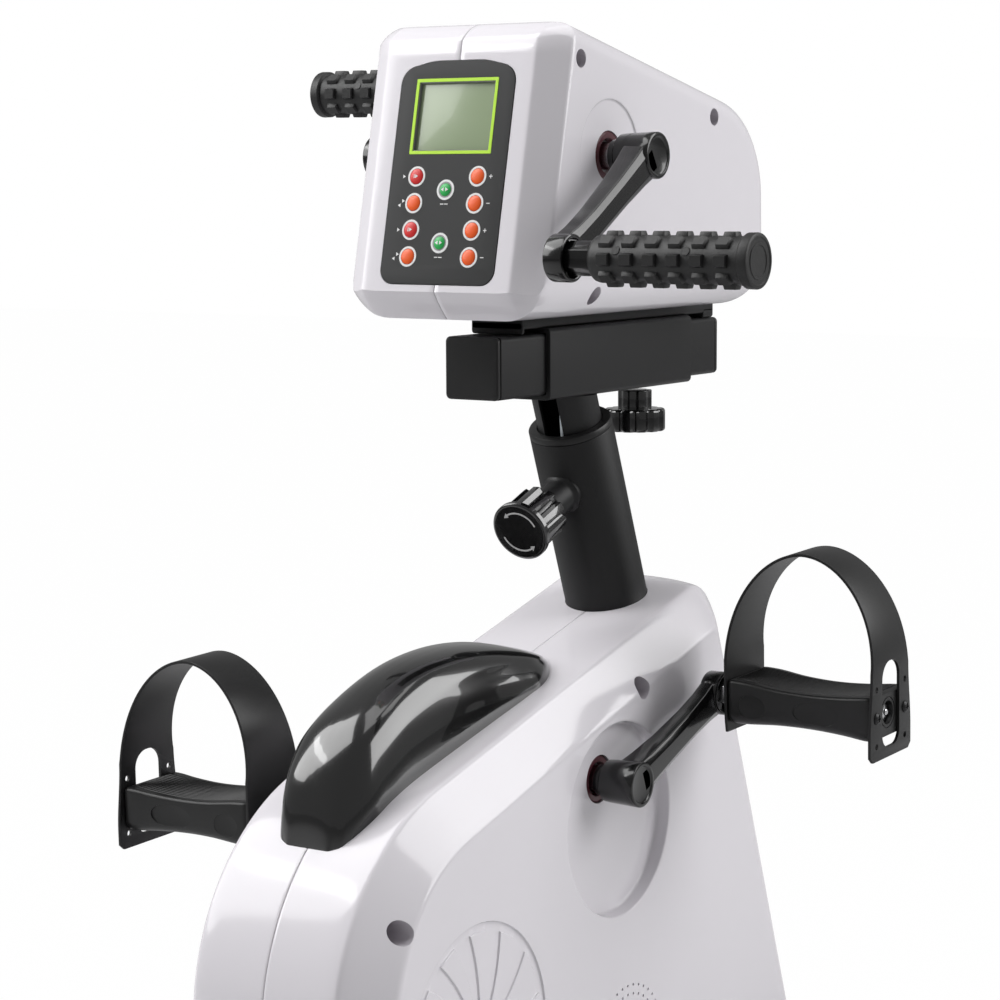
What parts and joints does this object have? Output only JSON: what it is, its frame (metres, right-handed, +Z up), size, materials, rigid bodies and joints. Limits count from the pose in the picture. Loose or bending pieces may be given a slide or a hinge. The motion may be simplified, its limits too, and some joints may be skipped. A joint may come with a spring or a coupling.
{
  "type": "motorized pedal exerciser",
  "caption": "Floor-standing motor-driven exerciser with foot cranks and strapped pedals, a height-adjustable sloping post and a sliding console head with hand cranks.",
  "frame": {"origin": "on the floor, under the foot crank axle and the hand crank axle, at the centre of the footprint", "axes": "+X to the user's right along the crank axles, +Y away from the user, +Z up"},
  "size_m": [0.4756, 0.654, 0.7832],
  "materials": {
    "white_abs": "gloss",
    "gloss_black_abs": "gloss",
    "satin_black_nylon": "satin",
    "black_rubber": "matte",
    "black_steel": "satin",
    "bright_steel": "satin",
    "maroon_seal": "satin",
    "charcoal_panel": "satin",
    "lime_frame": "satin",
    "lcd_glass": "gloss",
    "red_button": "satin",
    "orange_button": "satin",
    "green_button": "satin",
    "cast_aluminium": "cast",
    "circuit_board": "satin",
    "cable_white": "satin"
  },
  "bodies": {
    "base": {"front_rail": "black_steel", "rear_rail": "black_steel", "foot_cap_front_right": "black_rubber", "foot_cap_front_left": "black_rubber", "foot_cap_rear_right": "black_rubber", "foot_cap_rear_left": "black_rubber", "base_frame": "black_steel", "lower_shell_right": "white_abs", "lower_shell_left": "white_abs", "fender_cover": "gloss_black_abs", "foot_gear_motor": "cast_aluminium", "foot_seal_right": "maroon_seal", "foot_seal_left": "maroon_seal", "control_board": "circuit_board", "power_inlet": "satin_black_nylon", "post_tube": "black_steel", "post_bushing": "satin_black_nylon"},
    "rocker": {"power_rocker": "gloss_black_abs"},
    "foot_crank": {"foot_axle": "bright_steel", "foot_crank_right": "gloss_black_abs", "foot_crank_left": "gloss_black_abs", "pedal_spindle_right": "bright_steel", "pedal_spindle_left": "bright_steel"},
    "right_pedal": {"pedal_right": "satin_black_nylon", "pedal_strap_right": "satin_black_nylon"},
    "left_pedal": {"pedal_left": "satin_black_nylon", "pedal_strap_left": "satin_black_nylon"},
    "lock_pin": {"pull_pin": "bright_steel"},
    "lock_knob": {"height_knob": "gloss_black_abs"},
    "mast": {"mast_tube": "black_steel", "slide_sleeve": "black_steel", "mast_cable": "cable_white"},
    "clamp": {"clamp_knob": "gloss_black_abs"},
    "head": {"slide_tube": "black_steel", "tube_cap_front": "satin_black_nylon", "tube_cap_rear": "satin_black_nylon", "head_bracket": "black_steel", "console_panel": "charcoal_panel", "lcd_frame": "lime_frame", "lcd_window": "lcd_glass", "head_shell_right": "white_abs", "head_shell_left": "white_abs", "hand_gear_motor": "cast_aluminium", "hand_seal_right": "maroon_seal", "hand_seal_left": "maroon_seal"},
    "hand_crank": {"hand_axle": "bright_steel", "hand_crank_right": "gloss_black_abs", "hand_crank_left": "gloss_black_abs"},
    "right_grip": {"hand_grip_right": "black_rubber"},
    "left_grip": {"hand_grip_left": "black_rubber"},
    "key_left_1": {"button_left_1": "red_button"},
    "key_left_2": {"button_left_2": "orange_button"},
    "key_left_3": {"button_left_3": "red_button"},
    "key_left_4": {"button_left_4": "orange_button"},
    "key_right_1": {"button_right_1": "orange_button"},
    "key_right_2": {"button_right_2": "orange_button"},
    "key_right_3": {"button_right_3": "orange_button"},
    "key_right_4": {"button_right_4": "orange_button"},
    "key_mode_1": {"button_mode_1": "green_button"},
    "key_mode_2": {"button_mode_2": "green_button"}
  },
  "joints": [
    {"name": "foot_crank_spin", "type": "hinge", "parent": "base", "child": "foot_crank", "pos_m": [0, 0, 0.29], "axis": [1, 0, 0], "continuous": true},
    {"name": "right_pedal_spin", "type": "hinge", "parent": "foot_crank", "child": "right_pedal", "pos_m": [0, 0.11225, 0.33242], "axis": [1, 0, 0], "continuous": true},
    {"name": "left_pedal_spin", "type": "hinge", "parent": "foot_crank", "child": "left_pedal", "pos_m": [0, -0.11706, 0.26362], "axis": [1, 0, 0], "continuous": true},
    {"name": "power_rocker_tilt", "type": "hinge", "parent": "base", "child": "rocker", "pos_m": [-0.0759, 0.183, 0.085], "axis": [0, 1, 0], "range_deg": [-14, 0]},
    {"name": "lock_pin_pull", "type": "slide", "parent": "base", "child": "lock_pin", "axis": [0, -0.9338, -0.3579], "range_m": [0, 0.01], "stiffness_N_per_m": 1200, "springref_m": -0.005},
    {"name": "height_knob_turn", "type": "hinge", "parent": "lock_pin", "child": "lock_knob", "pos_m": [0, 0.08575, 0.4794], "axis": [0, -0.9338, -0.3579], "range_deg": [0, 360]},
    {"name": "mast_height", "type": "slide", "parent": "base", "child": "mast", "axis": [0, -0.3579, 0.9338], "range_m": [0, 0.12]},
    {"name": "clamp_knob_turn", "type": "hinge", "parent": "mast", "child": "clamp", "pos_m": [0, 0.1588, 0.5054], "axis": [0, 0, 1], "range_deg": [0, 360]},
    {"name": "head_slide", "type": "slide", "parent": "mast", "child": "head", "axis": [0, 1, 0], "range_m": [-0.024, 0.024]},
    {"name": "hand_crank_spin", "type": "hinge", "parent": "head", "child": "hand_crank", "pos_m": [0, 0, 0.6987], "axis": [1, 0, 0], "continuous": true},
    {"name": "right_grip_spin", "type": "hinge", "parent": "hand_crank", "child": "right_grip", "pos_m": [0, -0.10275, 0.63672], "axis": [1, 0, 0], "continuous": true},
    {"name": "left_grip_spin", "type": "hinge", "parent": "hand_crank", "child": "left_grip", "pos_m": [0, 0.11038, 0.74578], "axis": [1, 0, 0], "continuous": true},
    {"name": "press_left_1", "type": "slide", "parent": "head", "child": "key_left_1", "axis": [0, 0.985, -0.1728], "range_m": [0, 0.001], "stiffness_N_per_m": 400, "springref_m": -0.001},
    {"name": "press_left_2", "type": "slide", "parent": "head", "child": "key_left_2", "axis": [0, 0.985, -0.1728], "range_m": [0, 0.001], "stiffness_N_per_m": 400, "springref_m": -0.001},
    {"name": "press_left_3", "type": "slide", "parent": "head", "child": "key_left_3", "axis": [0, 0.985, -0.1728], "range_m": [0, 0.001], "stiffness_N_per_m": 400, "springref_m": -0.001},
    {"name": "press_left_4", "type": "slide", "parent": "head", "child": "key_left_4", "axis": [0, 0.985, -0.1728], "range_m": [0, 0.001], "stiffness_N_per_m": 400, "springref_m": -0.001},
    {"name": "press_right_1", "type": "slide", "parent": "head", "child": "key_right_1", "axis": [0, 0.985, -0.1728], "range_m": [0, 0.001], "stiffness_N_per_m": 400, "springref_m": -0.001},
    {"name": "press_right_2", "type": "slide", "parent": "head", "child": "key_right_2", "axis": [0, 0.985, -0.1728], "range_m": [0, 0.001], "stiffness_N_per_m": 400, "springref_m": -0.001},
    {"name": "press_right_3", "type": "slide", "parent": "head", "child": "key_right_3", "axis": [0, 0.985, -0.1728], "range_m": [0, 0.001], "stiffness_N_per_m": 400, "springref_m": -0.001},
    {"name": "press_right_4", "type": "slide", "parent": "head", "child": "key_right_4", "axis": [0, 0.985, -0.1728], "range_m": [0, 0.001], "stiffness_N_per_m": 400, "springref_m": -0.001},
    {"name": "press_mode_1", "type": "slide", "parent": "head", "child": "key_mode_1", "axis": [0, 0.985, -0.1728], "range_m": [0, 0.001], "stiffness_N_per_m": 400, "springref_m": -0.001},
    {"name": "press_mode_2", "type": "slide", "parent": "head", "child": "key_mode_2", "axis": [0, 0.985, -0.1728], "range_m": [0, 0.001], "stiffness_N_per_m": 400, "springref_m": -0.001}
  ]
}
